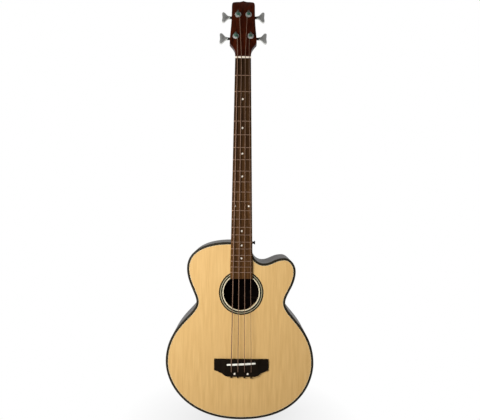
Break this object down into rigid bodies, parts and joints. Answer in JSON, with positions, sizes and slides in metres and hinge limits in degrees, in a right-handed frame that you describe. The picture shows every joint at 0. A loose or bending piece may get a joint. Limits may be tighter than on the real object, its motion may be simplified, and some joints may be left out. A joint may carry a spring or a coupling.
{
  "type": "acoustic bass guitar",
  "caption": "Hollow-bodied acoustic bass guitar with a rounded cutaway, long fretted neck, tilted headstock and worm-geared tuners.",
  "frame": {"origin": "on the neck's centre line at the nut, level with the soundboard's face, where a wall hanger's yoke holds the neck under the flare of the headstock", "axes": "+Z along the strings towards the headstock, +Y from the soundboard towards the back, +X towards the treble side and the cutaway"},
  "size_m": [0.4218, 0.133, 1.2281],
  "materials": {
    "spruce_top": "straight-grained softwood under satin lacquer, warm tan",
    "inlay": "cream and dark rings laid in flush, lacquered",
    "mahogany": "dark reddish brown, gloss lacquer",
    "binding": "black, polished, with a thin cream line inside it",
    "gloss_sides": "near-black gloss lacquer over bent wood",
    "lining_wood": "bare cedar",
    "brace_wood": "bare spruce",
    "neck_wood": "dark reddish brown, satin lacquer",
    "rosewood": "dark reddish brown veneer, gloss lacquer",
    "ebony": "nearly black oiled hardwood, open pores",
    "fretboard_wood": "medium brown oiled hardwood with dark streaks, nickel frets and pearl dots",
    "bone": "polished cream-white bone",
    "pearl": "pearly white, polished",
    "chrome": "satin plated metal",
    "steel": "plain steel rod",
    "bronze": "round-wound bronze over a steel core",
    "silk": "green silk wrapping",
    "black_plastic": "black, polished"
  },
  "bodies": {
    "guitar": {"soundboard": "spruce_top", "rosette": "inlay", "back_plate": "mahogany", "top_binding": "binding", "back_binding": "binding", "side_bass": "gloss_sides", "side_treble": "gloss_sides", "top_lining_bass": "lining_wood", "top_lining_treble": "lining_wood", "back_lining_bass": "lining_wood", "back_lining_treble": "lining_wood", "neck_block": "lining_wood", "tail_block": "lining_wood", "x_brace_bass": "brace_wood", "x_brace_treble": "brace_wood", "tone_bar_upper": "brace_wood", "tone_bar_lower": "brace_wood", "transverse_brace": "brace_wood", "bridge_plate": "mahogany", "back_brace_1": "brace_wood", "back_brace_2": "brace_wood", "back_brace_3": "brace_wood", "back_brace_4": "brace_wood", "back_strip": "brace_wood", "neck": "neck_wood", "headstock_face": "rosewood", "heel_cap": "ebony", "fretboard": "fretboard_wood", "truss_rod": "steel", "nut": "bone", "saddle": "bone", "bridge": "ebony", "bridge_cap_bass": "pearl", "bridge_cap_treble": "pearl", "strap_button": "black_plastic", "end_pin": "black_plastic", "string_E": "bronze", "string_A": "bronze", "string_D": "bronze", "string_G": "bronze", "tuner_housing_E": "chrome", "tuner_housing_A": "chrome", "tuner_housing_D": "chrome", "tuner_housing_G": "chrome", "tuner_bushing_E": "chrome", "tuner_bushing_A": "chrome", "tuner_bushing_D": "chrome", "tuner_bushing_G": "chrome"},
    "key_E": {"tuner_key_E": "chrome"},
    "key_A": {"tuner_key_A": "chrome"},
    "key_D": {"tuner_key_D": "chrome"},
    "key_G": {"tuner_key_G": "chrome"},
    "post_E": {"tuner_post_E": "chrome", "string_winding_E": "silk"},
    "post_A": {"tuner_post_A": "chrome", "string_winding_A": "silk"},
    "post_D": {"tuner_post_D": "chrome", "string_winding_D": "silk"},
    "post_G": {"tuner_post_G": "chrome", "string_winding_G": "silk"}
  },
  "joints": [
    {"name": "key_E_turn", "type": "hinge", "parent": "guitar", "child": "key_E", "pos_m": [-0.0214, 0.0401, 0.07588], "axis": [1, 0, 0], "continuous": true},
    {"name": "key_A_turn", "type": "hinge", "parent": "guitar", "child": "key_A", "pos_m": [-0.0156, 0.05785, 0.1471], "axis": [1, 0, 0], "continuous": true},
    {"name": "key_D_turn", "type": "hinge", "parent": "guitar", "child": "key_D", "pos_m": [0.0156, 0.05785, 0.1471], "axis": [1, 0, 0], "continuous": true},
    {"name": "key_G_turn", "type": "hinge", "parent": "guitar", "child": "key_G", "pos_m": [0.0214, 0.0401, 0.07588], "axis": [1, 0, 0], "continuous": true},
    {"name": "post_E_turn", "type": "hinge", "parent": "guitar", "child": "post_E", "pos_m": [-0.0214, 0.01686, 0.07363], "axis": [0, -0.9703, 0.2419], "continuous": true},
    {"name": "post_A_turn", "type": "hinge", "parent": "guitar", "child": "post_A", "pos_m": [-0.0156, 0.03462, 0.14485], "axis": [0, -0.9703, 0.2419], "continuous": true},
    {"name": "post_D_turn", "type": "hinge", "parent": "guitar", "child": "post_D", "pos_m": [0.0156, 0.03462, 0.14485], "axis": [0, -0.9703, 0.2419], "continuous": true},
    {"name": "post_G_turn", "type": "hinge", "parent": "guitar", "child": "post_G", "pos_m": [0.0214, 0.01686, 0.07363], "axis": [0, -0.9703, 0.2419], "continuous": true}
  ],
  "couplings": [
    {"joint": "post_E_turn", "follows": "key_E_turn", "ratio": 0.071429},
    {"joint": "post_A_turn", "follows": "key_A_turn", "ratio": 0.071429},
    {"joint": "post_D_turn", "follows": "key_D_turn", "ratio": 0.071429},
    {"joint": "post_G_turn", "follows": "key_G_turn", "ratio": 0.071429}
  ]
}
